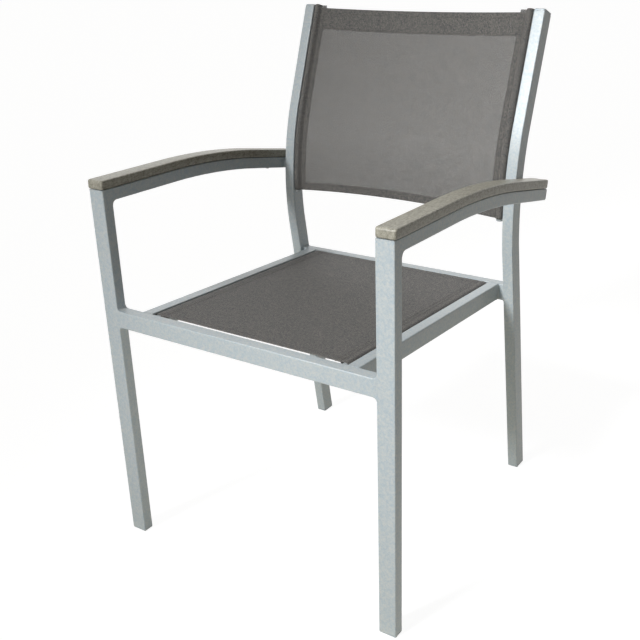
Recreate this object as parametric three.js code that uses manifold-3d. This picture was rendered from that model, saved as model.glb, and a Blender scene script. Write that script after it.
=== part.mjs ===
// Stacking patio armchair: an aluminium tube frame, a stretched fabric seat and back, and slat armrests.
// Millimetres, +Z up, the sitter looks towards -Y. The origin is under the middle of the chair, on the floor.
import * as THREE from "three";
import { mergeVertices } from "three/addons/utils/BufferGeometryUtils.js";
import Module from "manifold-3d";

const wasm = await Module();
wasm.setup();

// Tube that every frame member is cut from
const tube = { wide: 30, deep: 20, wall: 2, round: 2 };

// Fits
const fit = { seam: 0.3, plug: 0.3, hole: 0.4, cloth: 0.3 };
const overrun = 6;

// Front legs and the arm tubes that are mitred to their tops
const leg = { outside: 278, height: 639, weldRadius: 9, weldBite: 0.6 };
const arm = { frontFall: 1.5, straight: 166, radius: 1300, rearFall: 11.5, tail: 128.5, steps: 8 };

// Wood-look slats on the arm tubes
const slat = { proud: 2, thick: 15, nose: 1.5, cornerRound: 4, short: 2.5, topRound: 3, underRound: 1.2 };
const screw = { shank: 2, head: 4, headHigh: 2.4, bite: 10, tip: 2.5, stationShares: [0.12, 0.5, 0.86] };

// Back posts: lean forwards from the floor, bend behind the hips, recline above
const post = { footFront: 549.5, lean: 9.3, lower: 465, radius: 476, recline: 20.3, upper: 182.5, steps: 16 };
const spacer = { radius: 9, bore: 3, gap: 7.5 };

// Seat frame, which falls towards the back
const seat = { top: 436, fall: 3.65, railSetIn: 11.5, weldRadius: 6 };

// Rods in the side pockets of the two slings, held off the frame by short studs
const rod = { radius: 6, stud: 2.5, reach: 7.3, proudOfPost: 1.4 };
const sling = { cloth: 0.6, layer: 1.2, seam: 15, hem: 25 };
const seatSling = { frontGap: 4.5, rearGap: 3, rodInset: 2.5, studInset: 34 };
const backSling = { from: 539.5, below: 4, belowCap: 6, rodTop: 1.5, studInset: 30, lowBow: 8, topBow: 3 };

// Moulded feet, post caps and arm plugs
const glide = { plate: 3, plug: 12 };
const cap = { plate: 4, plug: 12, round: 1.6 };
const armPlug = { plate: 2, plug: 10 };

const facets = { corner: 2, rod: 6, sleeve: 5, screw: 12, spacer: 20, bow: 8, weld: 5, bevel: 3 };

const rad = THREE.MathUtils.degToRad;
const sides = [["left", -1], ["right", 1]];
const legInside = leg.outside - tube.wide;
const postOutside = legInside - spacer.gap;
const postInside = postOutside - tube.deep;
const railInside = postInside - seat.railSetIn - tube.deep;
const sleeveOuter = rod.radius + fit.cloth + sling.cloth;

const finish = {
  aluminium: { color: 0xb4b9bb, roughness: 0.42, metalness: 0.75 },
  slat: { color: 0x9a9684, roughness: 0.8, metalness: 0 },
  cloth: { color: 0x5e5b58, roughness: 0.9, metalness: 0 },
  black: { color: 0x2a2a2b, roughness: 0.6, metalness: 0 },
  grey: { color: 0xa2a5a6, roughness: 0.55, metalness: 0 },
  steel: { color: 0xc9ccce, roughness: 0.3, metalness: 0.9 },
};

const chair = new THREE.Group();

// Solids and meshes

function toSolid(geometry) {
  const bare = geometry.clone();
  bare.deleteAttribute("normal");
  bare.deleteAttribute("uv");
  const merged = mergeVertices(bare);
  const vertProperties = Float32Array.from(merged.attributes.position.array);
  const corners = merged.index.array;
  const triVerts = [];
  for (let i = 0; i < corners.length; i += 3) {
    const [a, b, c] = corners.slice(i, i + 3);
    if (a !== b && b !== c && c !== a) triVerts.push(a, b, c);
  }
  const mesh = new wasm.Mesh({ numProp: 3, vertProperties, triVerts: Uint32Array.from(triVerts) });
  return new wasm.Manifold(mesh);
}

function toGeometry(solid) {
  const mesh = solid.getMesh();
  const geometry = new THREE.BufferGeometry();
  geometry.setAttribute("position", new THREE.BufferAttribute(mesh.vertProperties, 3));
  geometry.setIndex(new THREE.BufferAttribute(mesh.triVerts, 1));
  geometry.computeVertexNormals();
  return geometry;
}

function addPiece(parent, name, solid, look) {
  const mesh = new THREE.Mesh(toGeometry(solid), new THREE.MeshStandardMaterial(look));
  mesh.name = name;
  parent.add(mesh);
  return mesh;
}

// A tube end, cap or rail is trimmed by a block whose near face lies on the cutting plane
function cutBeyond(solid, point, normal, size = leg.height) {
  const block = new THREE.BoxGeometry(size, size, size);
  const axis = new THREE.Vector3(0, 0, 1);
  const turn = new THREE.Quaternion().setFromUnitVectors(axis, normal.clone().normalize());
  block.translate(0, 0, size / 2);
  block.applyQuaternion(turn);
  block.translate(point.x, point.y, point.z);
  return solid.subtract(toSolid(block));
}

// Profiles

function roundedOutline(target, wide, high, top, under = top) {
  const x = wide / 2;
  const y = high / 2;
  target.moveTo(-x + under, -y);
  target.lineTo(x - under, -y);
  target.absarc(x - under, -y + under, under, -Math.PI / 2, 0, false);
  target.lineTo(x, y - top);
  target.absarc(x - top, y - top, top, 0, Math.PI / 2, false);
  target.lineTo(-x + top, y);
  target.absarc(-x + top, y - top, top, Math.PI / 2, Math.PI, false);
  target.lineTo(-x, -y + under);
  target.absarc(-x + under, -y + under, under, Math.PI, Math.PI * 1.5, false);
  return target;
}

function rectangle(wide, high) {
  const shape = new THREE.Shape();
  shape.moveTo(-wide / 2, -high / 2);
  shape.lineTo(wide / 2, -high / 2);
  shape.lineTo(wide / 2, high / 2);
  shape.lineTo(-wide / 2, high / 2);
  return shape;
}

function disc(radius) {
  return new THREE.Shape().absarc(0, 0, radius, 0, Math.PI * 2, false);
}

function tubeOutline(across, up) {
  return roundedOutline(new THREE.Shape(), across, up, tube.round);
}

function tubeBore(across, up) {
  return rectangle(across - 2 * tube.wall, up - 2 * tube.wall);
}

function plugOutline(across, up) {
  const inset = 2 * (tube.wall + fit.plug);
  return roundedOutline(new THREE.Shape(), across - inset, up - inset, tube.round / 2);
}

// A line in the side view: a straight run, one bend to the right and a second straight run.
// A place on it is given by the distance along it and the offset to its left.
function placeOn(line, distance, offset, x = 0) {
  const arc = line.radius * line.turn;
  const along = THREE.MathUtils.clamp(distance - line.before, 0, arc);
  const heading = line.heading - along / line.radius;
  const onward = distance - line.before - along;
  const centreY = line.start.x + line.before * Math.cos(line.heading) + line.radius * Math.sin(line.heading);
  const centreZ = line.start.y + line.before * Math.sin(line.heading) - line.radius * Math.cos(line.heading);
  const out = line.radius + offset;
  const y = centreY - out * Math.sin(heading) + onward * Math.cos(heading);
  const z = centreZ + out * Math.cos(heading) + onward * Math.sin(heading);
  return { point: new THREE.Vector3(x, y, z), heading };
}

function straightLine(start, heading) {
  return { start, heading, before: 0, radius: 1, turn: 0, steps: 0 };
}

// The same line as a curve for a sweep, with one station at each end of the bend and at each step
class SidePath extends THREE.Curve {
  constructor(line, offset, from, to, x = 0) {
    super();
    Object.assign(this, { line, offset, x });
    const step = line.radius * line.turn / Math.max(line.steps, 1);
    const marks = Array.from({ length: line.steps + 1 }, (_, i) => line.before + step * i);
    this.marks = [from, ...marks.filter((mark) => mark > from + step / 8 && mark < to - step / 8), to];
  }

  placeAt(u) {
    const spans = this.marks.length - 1;
    const index = Math.min(Math.floor(u * spans), spans - 1);
    const mark = THREE.MathUtils.lerp(this.marks[index], this.marks[index + 1], u * spans - index);
    return placeOn(this.line, mark, this.offset, this.x);
  }

  getPointAt(u, target = new THREE.Vector3()) {
    return target.copy(this.placeAt(u).point);
  }

  computeFrenetFrames(segments) {
    const headings = Array.from({ length: segments + 1 }, (_, i) => this.placeAt(i / segments).heading);
    return {
      tangents: headings.map((heading) => new THREE.Vector3(0, Math.cos(heading), Math.sin(heading))),
      normals: headings.map(() => new THREE.Vector3(-1, 0, 0)),
      binormals: headings.map((heading) => new THREE.Vector3(0, -Math.sin(heading), Math.cos(heading))),
    };
  }
}

function sweep(shape, path, curveSegments = facets.corner) {
  const options = { steps: path.marks.length - 1, bevelEnabled: false, curveSegments, extrudePath: path };
  return toSolid(new THREE.ExtrudeGeometry(shape, options));
}

function sweepTube(across, up, line, offset, from, to, x = 0) {
  const outside = sweep(tubeOutline(across, up), new SidePath(line, offset, from, to, x));
  const bore = new SidePath(line, offset, from - overrun, to + overrun, x);
  return outside.subtract(sweep(tubeBore(across, up), bore));
}

function extrude(shape, depth, curveSegments = facets.corner) {
  return new THREE.ExtrudeGeometry(shape, { depth, bevelEnabled: false, curveSegments });
}

// A straight tube from one side of the chair to the other, its section given along Y and Z
function crossTube(reach, y, z) {
  const across = (shape, half) => {
    const geometry = extrude(shape, 2 * half);
    geometry.translate(0, 0, -half);
    geometry.rotateY(Math.PI / 2);
    geometry.translate(0, y, z);
    return toSolid(geometry);
  };
  const outside = across(tubeOutline(tube.wide, tube.deep), reach);
  return outside.subtract(across(tubeBore(tube.wide, tube.deep), reach + overrun));
}

// Side view of an arm: the reference line is the top face of the arm tube
const armLine = {
  start: new THREE.Vector2(0, leg.height),
  heading: -rad(arm.frontFall),
  before: arm.straight,
  radius: arm.radius,
  turn: rad(arm.rearFall - arm.frontFall),
  steps: arm.steps,
};
const armLength = arm.straight + arm.radius * armLine.turn + arm.tail;

// Side view of a back post: the reference line is its front face
const postLine = {
  start: new THREE.Vector2(post.footFront, 0),
  heading: Math.PI / 2 + rad(post.lean),
  before: post.lower,
  radius: post.radius,
  turn: rad(post.lean + post.recline),
  steps: post.steps,
};
const postLength = post.lower + post.radius * postLine.turn + post.upper;

// Front legs

const mitre = {
  point: new THREE.Vector3(0, 0, leg.height),
  normal: new THREE.Vector3(0, Math.cos(armLine.heading), 1 + Math.sin(armLine.heading)).normalize(),
};

// Concave weld between the back of the leg and the underside of the arm tube
function cornerWeld() {
  const under = placeOn(armLine, tube.deep, -tube.deep - fit.seam).point;
  const r = leg.weldRadius;
  const shape = new THREE.Shape();
  shape.moveTo(tube.deep - leg.weldBite, under.z);
  shape.lineTo(tube.deep - leg.weldBite, under.z - r);
  shape.lineTo(tube.deep, under.z - r);
  shape.absarc(tube.deep + r, under.z - r, r, Math.PI, Math.PI / 2, true);
  shape.closePath();
  const wide = tube.wide - 2 * tube.round;
  const geometry = extrude(shape, wide, facets.weld);
  geometry.translate(0, 0, -wide / 2);
  geometry.rotateX(Math.PI / 2);
  geometry.rotateZ(Math.PI / 2);
  const above = new THREE.Vector3(0, -Math.sin(armLine.heading), Math.cos(armLine.heading));
  return cutBeyond(toSolid(geometry), under, above);
}

function frontLeg() {
  const upright = straightLine(new THREE.Vector2(tube.deep / 2, 0), Math.PI / 2);
  const tubing = sweepTube(tube.wide, tube.deep, upright, 0, glide.plate + fit.seam, leg.height);
  const seam = mitre.point.clone().addScaledVector(mitre.normal, -fit.seam / 2);
  return cutBeyond(tubing.add(cornerWeld()), seam, mitre.normal);
}

// Arm tubes, drilled for the slat screws

function screwPlace(share) {
  return placeOn(armLine, armLength * share, -tube.deep);
}

function standOn(geometry, place) {
  geometry.rotateX(Math.PI / 2);
  geometry.rotateX(place.heading);
  geometry.translate(place.point.x, place.point.y, place.point.z);
  return geometry;
}

function screwHoles(radius, from, to) {
  const holes = screw.stationShares.map((share) => {
    const hole = new THREE.CylinderGeometry(radius, radius, to - from, facets.screw);
    hole.translate(0, (from + to) / 2, 0);
    return toSolid(standOn(hole, screwPlace(share)));
  });
  return holes.reduce((all, hole) => all.add(hole));
}

function armTube() {
  const tubing = sweepTube(tube.wide, tube.deep, armLine, -tube.deep / 2, -tube.deep, armLength);
  const seam = mitre.point.clone().addScaledVector(mitre.normal, fit.seam / 2);
  const mitred = cutBeyond(tubing, seam, mitre.normal.clone().negate());
  return mitred.subtract(screwHoles(screw.shank + fit.hole, -overrun, tube.deep + overrun));
}

// Armrest slats with rounded front corners

function armrest() {
  const wide = tube.wide + 2 * slat.proud;
  const section = roundedOutline(new THREE.Shape(), wide, slat.thick, slat.topRound, slat.underRound);
  const lift = fit.seam + slat.thick / 2;
  const body = sweep(section, new SidePath(armLine, lift, -slat.nose, armLength - slat.short));
  const long = armLength + 2 * overrun;
  const corners = roundedOutline(new THREE.Shape(), wide, long, slat.cornerRound);
  const plan = extrude(corners, leg.height + tube.wide, facets.weld);
  plan.translate(0, long / 2 - slat.nose, 0);
  const bite = tube.deep + fit.seam + screw.bite;
  const holes = screwHoles(screw.shank + fit.plug, tube.deep, bite + fit.plug);
  return body.intersect(toSolid(plan)).subtract(holes);
}

// Pan head against the underside of the tube, shank up through it into the slat
function slatScrew() {
  const top = tube.deep + fit.seam + screw.bite;
  const profile = [
    new THREE.Vector2(0, -fit.seam - screw.headHigh),
    new THREE.Vector2(screw.head * 0.6, -fit.seam - screw.headHigh * 0.9),
    new THREE.Vector2(screw.head, -fit.seam - screw.headHigh * 0.4),
    new THREE.Vector2(screw.head, -fit.seam),
    new THREE.Vector2(screw.shank, -fit.seam),
    new THREE.Vector2(screw.shank, top - screw.tip),
    new THREE.Vector2(0, top),
  ];
  return new THREE.LatheGeometry(profile, facets.screw);
}

// Short bush welded between the arm tube and the outside of the post
function armSpacer() {
  const long = spacer.gap - 2 * fit.seam;
  const bush = (radius, length) => {
    const geometry = new THREE.CylinderGeometry(radius, radius, length, facets.spacer);
    geometry.rotateZ(Math.PI / 2);
    return toSolid(geometry);
  };
  return bush(spacer.radius, long).subtract(bush(spacer.bore, long + 2 * overrun));
}

// Where the middle of the arm tube crosses the middle of the post, in the side view
function armMeetsPost() {
  const nearest = { gap: Infinity };
  const tries = 400;
  for (let i = 0; i <= tries; i += 1) {
    const onArm = placeOn(armLine, armLength * i / tries, -tube.deep / 2).point;
    for (let k = 0; k <= tries; k += 1) {
      const onPost = placeOn(postLine, postLength * k / tries, -tube.wide / 2).point;
      const gap = onArm.distanceTo(onPost);
      if (gap < nearest.gap) Object.assign(nearest, { gap, point: onArm });
    }
  }
  return nearest.point;
}

// Back posts

function backPost() {
  const top = postLength - cap.plate - fit.seam;
  const tubing = sweepTube(tube.deep, tube.wide, postLine, -tube.wide / 2, -tube.wide, top);
  const foot = new THREE.Vector3(0, post.footFront, glide.plate + fit.seam);
  return cutBeyond(tubing, foot, new THREE.Vector3(0, 0, -1));
}

// A plate that continues the tube and a plug inside it
function tubeEnd(across, up, plate, plug, round) {
  const lid = new THREE.ExtrudeGeometry(tubeOutline(across - 2 * round, up - 2 * round), {
    depth: plate,
    bevelSize: round,
    bevelThickness: round,
    bevelSegments: facets.bevel,
    curveSegments: facets.corner,
  });
  lid.translate(0, 0, -round);
  const stem = extrude(plugOutline(across, up), plug + plate / 2);
  stem.translate(0, 0, -plug);
  const below = new THREE.Vector3(0, 0, -1);
  return cutBeyond(toSolid(lid), new THREE.Vector3(), below).add(toSolid(stem));
}

// A flat sole under a tube that stands at the given heading, and a plug up inside the tube
function tubeFoot(across, up, heading) {
  const axis = straightLine(new THREE.Vector2(0, 0), heading);
  const down = new THREE.Vector3(0, 0, -1);
  const at = (z) => new THREE.Vector3(0, 0, z);
  const long = glide.plate + up;
  const sole = cutBeyond(sweep(tubeOutline(across, up), new SidePath(axis, 0, -long, long)), at(0), down);
  const plug = sweep(plugOutline(across, up), new SidePath(axis, 0, -long, glide.plate + glide.plug));
  const plate = cutBeyond(sole, at(glide.plate), down.clone().negate());
  return plate.add(cutBeyond(plug, at(glide.plate / 2), down));
}

// Seat frame, drawn level in a group that is turned to the fall of the seat

const level = straightLine(new THREE.Vector2(0, 0), 0);
const fallAngle = rad(seat.fall);
const leanSlope = Math.tan(rad(post.lean));
const halfTube = tube.wide / 2;

// Length of the side rails: at half its height, the rear rail is centred in the depth of the posts
const rearRailFront = post.footFront + (tube.wide - tube.deep) / 2 / Math.cos(rad(post.lean));
const railRun = (rearRailFront - leanSlope * (seat.top - halfTube * Math.cos(fallAngle))
  - tube.deep + halfTube * Math.sin(fallAngle)) / (Math.cos(fallAngle) - leanSlope * Math.sin(fallAngle));

function frontRail() {
  return crossTube(legInside - fit.seam, tube.deep / 2, seat.top - tube.wide / 2);
}

function rearRail() {
  return crossTube(postInside - fit.seam, railRun + tube.deep / 2, -tube.wide / 2);
}

// Concave weld in the corner between a side rail and the back of the front rail
function railWeld(side) {
  const r = seat.weldRadius;
  const bite = leg.weldBite;
  const shape = new THREE.Shape();
  shape.moveTo(-bite, -bite);
  shape.lineTo(r, -bite);
  shape.lineTo(r, 0);
  shape.absarc(r, r, r, -Math.PI / 2, -Math.PI, true);
  shape.lineTo(-bite, r);
  shape.closePath();
  const geometry = extrude(shape, tube.wide - 2 * tube.round, facets.weld);
  if (side < 0) geometry.rotateZ(Math.PI / 2);
  geometry.translate(side * (railInside + tube.deep), 0, -tube.wide + tube.round);
  return toSolid(geometry);
}

function sideRail(side) {
  const x = side * (railInside + tube.deep / 2);
  const tubing = sweepTube(tube.deep, tube.wide, level, -tube.wide / 2, -tube.deep, railRun - fit.seam, x);
  const ahead = new THREE.Vector3(0, -Math.cos(fallAngle), -Math.sin(fallAngle));
  const seam = ahead.clone().multiplyScalar(-fit.seam);
  return cutBeyond(tubing.add(railWeld(side)), seam, ahead);
}

// Rods and slings

// Short studs from a rod to the frame member beside it; a grown set cuts the holes in the pocket
function studsAt(side, places, grow = 0) {
  const long = rod.reach - fit.seam + grow;
  const pins = places.map((place) => {
    const geometry = new THREE.CylinderGeometry(rod.stud + grow, rod.stud + grow, long, facets.screw);
    geometry.rotateZ(Math.PI / 2);
    geometry.translate(place.x + side * long / 2, place.y, place.z);
    return toSolid(geometry);
  });
  return pins.reduce((all, pin) => all.add(pin));
}

const seatRodX = railInside - rod.reach;
const backRodX = postInside - rod.reach;
const seatClothEnds = [seatSling.frontGap, railRun - seatSling.rearGap];
const seatRodEnds = [seatClothEnds[0] + seatSling.rodInset, seatClothEnds[1] - seatSling.rodInset];
const backRodEnds = [backSling.from - backSling.below, postLength - backSling.rodTop];
const backClothEnds = [backSling.from, postLength - backSling.belowCap];
const backRodOffset = rod.proudOfPost - sleeveOuter;

function seatStudPlaces(side) {
  const [from, to] = seatRodEnds;
  const runs = [from + seatSling.studInset, (from + to) / 2, to - seatSling.studInset];
  return runs.map((y) => new THREE.Vector3(side * seatRodX, y, -sleeveOuter));
}

function backStudPlaces(side) {
  const [from, to] = backRodEnds;
  const runs = [from + rod.stud, (from + to) / 2, to - backSling.studInset];
  return runs.map((run) => placeOn(postLine, run, backRodOffset).point.setX(side * backRodX));
}

function seatRod(side) {
  const path = new SidePath(level, -sleeveOuter, ...seatRodEnds, side * seatRodX);
  return sweep(disc(rod.radius), path, facets.rod).add(studsAt(side, seatStudPlaces(side)));
}

function backRod(side) {
  const path = new SidePath(postLine, backRodOffset, ...backRodEnds, side * backRodX);
  return sweep(disc(rod.radius), path, facets.rod).add(studsAt(side, backStudPlaces(side)));
}

// Angle on a circle where a line from a point outside touches it
function touchAngle(point, centre, radius, turn) {
  const away = point.clone().sub(centre);
  return Math.atan2(away.y, away.x) + turn * Math.acos(radius / away.length());
}

// Section of a sling: one taut layer, and at each side a pocket round the rod, closed by a seam, with
// its flap lying under the layer. The layer lies a given depth below the top of the pockets.
function slingSection(rodX, sink) {
  const centre = new THREE.Vector2(rodX, -sleeveOuter);
  const seam = new THREE.Vector2(rodX + sleeveOuter - sling.seam, -sink);
  const flap = new THREE.Vector2(seam.x, -sink - sling.layer - sling.cloth);
  const hemX = rodX + sleeveOuter - sling.hem;
  const over = touchAngle(seam, centre, sleeveOuter, -1);
  const under = touchAngle(flap, centre, sleeveOuter, 1);
  const half = new THREE.Path();
  half.moveTo(seam.x, seam.y);
  half.absarc(centre.x, centre.y, sleeveOuter, over, under, true);
  half.lineTo(flap.x, flap.y);
  half.lineTo(hemX, flap.y);
  half.lineTo(hemX, -sink - sling.layer);
  const right = half.getPoints(facets.sleeve);
  const left = right.map(({ x, y }) => new THREE.Vector2(-x, y)).reverse();
  return new THREE.Shape([...right, ...left]);
}

function clothOn(line, offset, sink, rodX, [from, to], studPlaces) {
  const cloth = sweep(slingSection(rodX, sink), new SidePath(line, offset, from, to));
  const pockets = sides.map(([, side]) => {
    const path = new SidePath(line, offset - sleeveOuter, from - overrun, to + overrun, side * rodX);
    const pocket = sweep(disc(rod.radius + fit.cloth), path, facets.rod);
    return pocket.add(studsAt(side, studPlaces(side), fit.cloth));
  });
  return pockets.reduce((rest, pocket) => rest.subtract(pocket), cloth);
}

// On the seat the layer runs level with the top of the pockets
function seatCloth() {
  return clothOn(level, 0, 0, seatRodX, seatClothEnds, seatStudPlaces);
}

// The upper and lower edges of the back are drawn in at mid-width by the pull of the rods
function edgeBow(place, bow, up) {
  const half = backRodX - sleeveOuter;
  const shape = new THREE.Shape();
  const radius = (half * half + bow * bow) / (2 * bow);
  const swing = Math.asin(half / radius);
  const [from, to] = [Math.PI / 2 + swing, Math.PI / 2 - swing];
  shape.absarc(0, up * (bow - radius), radius, up * from, up * to, up > 0);
  shape.lineTo(half, -up * overrun);
  shape.lineTo(-half, -up * overrun);
  shape.closePath();
  const deep = 2 * (sleeveOuter + overrun);
  const geometry = extrude(shape, deep, facets.bow);
  geometry.translate(0, 0, -deep / 2);
  return toSolid(standOn(geometry, { heading: place.heading - Math.PI / 2, point: place.point }));
}

// On the back it runs through the middle of the rods
function backCloth() {
  const sink = sleeveOuter - sling.layer / 2;
  const cloth = clothOn(postLine, rod.proudOfPost, sink, backRodX, backClothEnds, backStudPlaces);
  const [low, high] = backClothEnds.map((run) => placeOn(postLine, run, backRodOffset));
  const drawnIn = cloth.subtract(edgeBow(low, backSling.lowBow, 1));
  return drawnIn.subtract(edgeBow(high, backSling.topBow, -1));
}

// Assembly

addPiece(chair, "front_seat_rail", frontRail(), finish.aluminium);

const seatFrame = new THREE.Group();
seatFrame.position.set(0, tube.deep, seat.top);
seatFrame.rotation.x = -fallAngle;
chair.add(seatFrame);
addPiece(seatFrame, "rear_seat_rail", rearRail(), finish.aluminium);
addPiece(seatFrame, "seat_sling", seatCloth(), finish.cloth);
addPiece(chair, "back_sling", backCloth(), finish.cloth);

const legGlide = tubeFoot(tube.wide, tube.deep, Math.PI / 2);
const postGlide = tubeFoot(tube.deep, tube.wide, postLine.heading);
const footMiddle = post.footFront + tube.wide / 2 / Math.sin(postLine.heading);
const postTop = placeOn(postLine, postLength - cap.plate, -tube.wide / 2);
const armEnd = placeOn(armLine, armLength + fit.seam, -tube.deep / 2);
const crossing = armMeetsPost();

for (const [name, side] of sides) {
  const legX = side * (leg.outside - tube.wide / 2);
  const postX = side * (postOutside - tube.deep / 2);

  addPiece(chair, `front_leg_${name}`, frontLeg(), finish.aluminium).position.x = legX;
  addPiece(chair, `arm_tube_${name}`, armTube(), finish.aluminium).position.x = legX;
  addPiece(chair, `armrest_${name}`, armrest(), finish.slat).position.x = legX;
  screw.stationShares.forEach((share, i) => {
    const body = toSolid(standOn(slatScrew(), screwPlace(share)));
    addPiece(chair, `armrest_screw_${name}_${i + 1}`, body, finish.steel).position.x = legX;
  });

  const plug = addPiece(chair, `arm_end_plug_${name}`,
    tubeEnd(tube.wide, tube.deep, armPlug.plate, armPlug.plug, cap.round / 2), finish.black);
  plug.position.set(legX, armEnd.point.y, armEnd.point.z);
  plug.rotation.x = armEnd.heading - Math.PI / 2;

  addPiece(chair, `back_post_${name}`, backPost(), finish.aluminium).position.x = postX;
  const lid = addPiece(chair, `post_cap_${name}`,
    tubeEnd(tube.deep, tube.wide, cap.plate, cap.plug, cap.round), finish.aluminium);
  lid.position.set(postX, postTop.point.y, postTop.point.z);
  lid.rotation.x = postTop.heading - Math.PI / 2;

  const spacerX = side * (postOutside + legInside) / 2;
  const bush = addPiece(chair, `arm_spacer_${name}`, armSpacer(), finish.aluminium);
  bush.position.set(spacerX, crossing.y, crossing.z);

  addPiece(seatFrame, `seat_side_rail_${name}`, sideRail(side), finish.aluminium);
  addPiece(seatFrame, `seat_sling_rod_${name}`, seatRod(side), finish.aluminium);
  addPiece(chair, `back_sling_rod_${name}`, backRod(side), finish.aluminium);

  addPiece(chair, `front_glide_${name}`, legGlide, finish.grey).position.set(legX, tube.deep / 2, 0);
  addPiece(chair, `rear_glide_${name}`, postGlide, finish.grey).position.set(postX, footMiddle, 0);
}

// The origin is moved under the middle of the finished chair
chair.updateMatrixWorld(true);
const reach = new THREE.Box3().setFromObject(chair, true);
chair.position.y = -(reach.min.y + reach.max.y) / 2;

export default chair;
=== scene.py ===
# %% [markdown]
# # A patio armchair with slings
#
# The chair is a welded frame of flat-sided aluminium tube with a silver powder coat. A grey woven sheet
# is stretched over rods for the seat, a second one for the back, and a slat with a brushed wood look lies
# on each arm. This lesson loads the frame as measured, dresses it, weaves and sews the slings, and lights
# the chair as a catalogue photograph does.
#
# ## The frame
#
# A model from a construction program has exact sizes and no looks. It could be rebuilt here, but then
# two sets of sizes would drift apart. So it is loaded once, and everything else takes its place from it.

# %% Load the measured frame
import math

import bmesh
import bpy
import numpy as np
from mathutils import Euler, Matrix, Vector


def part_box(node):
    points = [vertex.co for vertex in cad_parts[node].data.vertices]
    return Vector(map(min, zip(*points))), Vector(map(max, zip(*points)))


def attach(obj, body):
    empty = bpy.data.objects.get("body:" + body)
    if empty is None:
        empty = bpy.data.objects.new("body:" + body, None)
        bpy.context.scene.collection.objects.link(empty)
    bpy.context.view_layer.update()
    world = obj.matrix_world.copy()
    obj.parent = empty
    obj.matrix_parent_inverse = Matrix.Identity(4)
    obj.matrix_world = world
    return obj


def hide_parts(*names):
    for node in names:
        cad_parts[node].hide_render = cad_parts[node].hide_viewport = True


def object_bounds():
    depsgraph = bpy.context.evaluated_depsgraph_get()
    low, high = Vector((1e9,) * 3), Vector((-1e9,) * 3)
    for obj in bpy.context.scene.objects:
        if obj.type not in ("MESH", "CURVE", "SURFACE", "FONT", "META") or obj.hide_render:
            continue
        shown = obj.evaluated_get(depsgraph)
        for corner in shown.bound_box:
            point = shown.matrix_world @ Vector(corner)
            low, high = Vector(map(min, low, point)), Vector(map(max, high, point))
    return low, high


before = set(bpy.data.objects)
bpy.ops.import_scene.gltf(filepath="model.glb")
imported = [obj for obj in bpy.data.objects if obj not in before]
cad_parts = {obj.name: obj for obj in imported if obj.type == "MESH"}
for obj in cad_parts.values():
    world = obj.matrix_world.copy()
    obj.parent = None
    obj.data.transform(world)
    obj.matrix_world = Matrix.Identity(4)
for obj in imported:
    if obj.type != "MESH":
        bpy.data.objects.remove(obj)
cad_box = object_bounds()
SIDES = (("left", -1), ("right", 1))


def low(node):
    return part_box(node)[0]


def high(node):
    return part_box(node)[1]


def mid_x(node):
    return (low(node).x + high(node).x) / 2


def rounded(values):
    """Numbers short enough to print."""
    return [round(value, 4) for value in values]


print("pieces in the frame:", len(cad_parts))
print("overall size:", rounded(b - a for a, b in zip(*cad_box)))

# %% [markdown]
# ## Lines that the chair is built on
#
# The posts and everything on them follow one line in the side view: straight, a bend behind the hips,
# straight again. The seat follows a plain slope. A small class that finds any spot on such a line, at any
# height over it, saves writing coordinates by hand, and it keeps the cloth on its rods.

# %% Side lines of the back and of the seat


class SideLine:
    """A straight run, one bend and a second straight run, seen from the side."""

    def __init__(self, y, z, heading, before=0.0, radius=1.0, turn=0.0):
        self.heading, self.before, self.radius = heading, before, radius
        self.arc = radius * turn
        self.centre_y = y + before * math.cos(heading) + radius * math.sin(heading)
        self.centre_z = z + before * math.sin(heading) - radius * math.cos(heading)

    def spot(self, distance, over=0.0, x=0.0):
        """The place at a distance along the line, at a height over it."""
        along = min(max(distance - self.before, 0.0), self.arc)
        turned = self.heading - along / self.radius
        onward = distance - self.before - along
        out = self.radius + over
        y = self.centre_y - out * math.sin(turned) + onward * math.cos(turned)
        z = self.centre_z + out * math.cos(turned) + onward * math.sin(turned)
        return Vector((x, y, z))


POST_LEAN = math.radians(9.3)
POST_RECLINE = math.radians(20.3)
POST_FOOT = 0.5495
POST_TOP_RUN = 0.1825
SEAT_FALL = math.radians(3.65)
TUBE_WIDE = 0.030
TUBE_DEEP = 0.020

front_plane = low("front_leg_right").y
rail_back = front_plane + TUBE_DEEP
post_line = SideLine(
    y=front_plane + POST_FOOT,
    z=0.0,
    heading=math.pi / 2 + POST_LEAN,
    before=0.465,
    radius=0.476,
    turn=POST_LEAN + POST_RECLINE,
)
post_length = post_line.before + post_line.arc + POST_TOP_RUN
seat_line = SideLine(y=rail_back, z=high("front_seat_rail").z, heading=-SEAT_FALL)
print("post length:", round(post_length, 4), "top of the post:", post_line.spot(post_length))

# %% [markdown]
# ## Finishes
#
# Each finish is a tree of shader nodes. Image textures would show every finish at one fixed sharpness,
# and they need a file, so the patterns here are worked out from the place on the piece in metres.

# %% Helpers for node trees


def fill(tree, socket, value):
    """Links a socket to another one, or gives it a plain value."""
    if isinstance(value, bpy.types.NodeSocket):
        tree.links.new(value, socket)
    else:
        socket.default_value = value


def add(tree, kind, sockets=None, **settings):
    node = tree.nodes.new(kind)
    for key, value in settings.items():
        setattr(node, key, value)
    for key, value in (sockets or {}).items():
        fill(tree, node.inputs[key], value)
    return node


def first(tree, kind, sockets=None, **settings):
    """Adds a node for the sake of its first output."""
    return add(tree, kind, sockets, **settings).outputs[0]


def live(sockets, name=None):
    """Some nodes keep a socket for each kind of value. This finds the one in use."""
    return next(s for s in sockets if s.enabled and name in (None, s.name))


def maths(tree, operation, a, b=0.0, c=0.0):
    return first(tree, "ShaderNodeMath", {0: a, 1: b, 2: c}, operation=operation)


def times(tree, a, b):
    return maths(tree, "MULTIPLY", a, b)


def vector(tree, **parts):
    return first(tree, "ShaderNodeCombineXYZ", parts)


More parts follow.
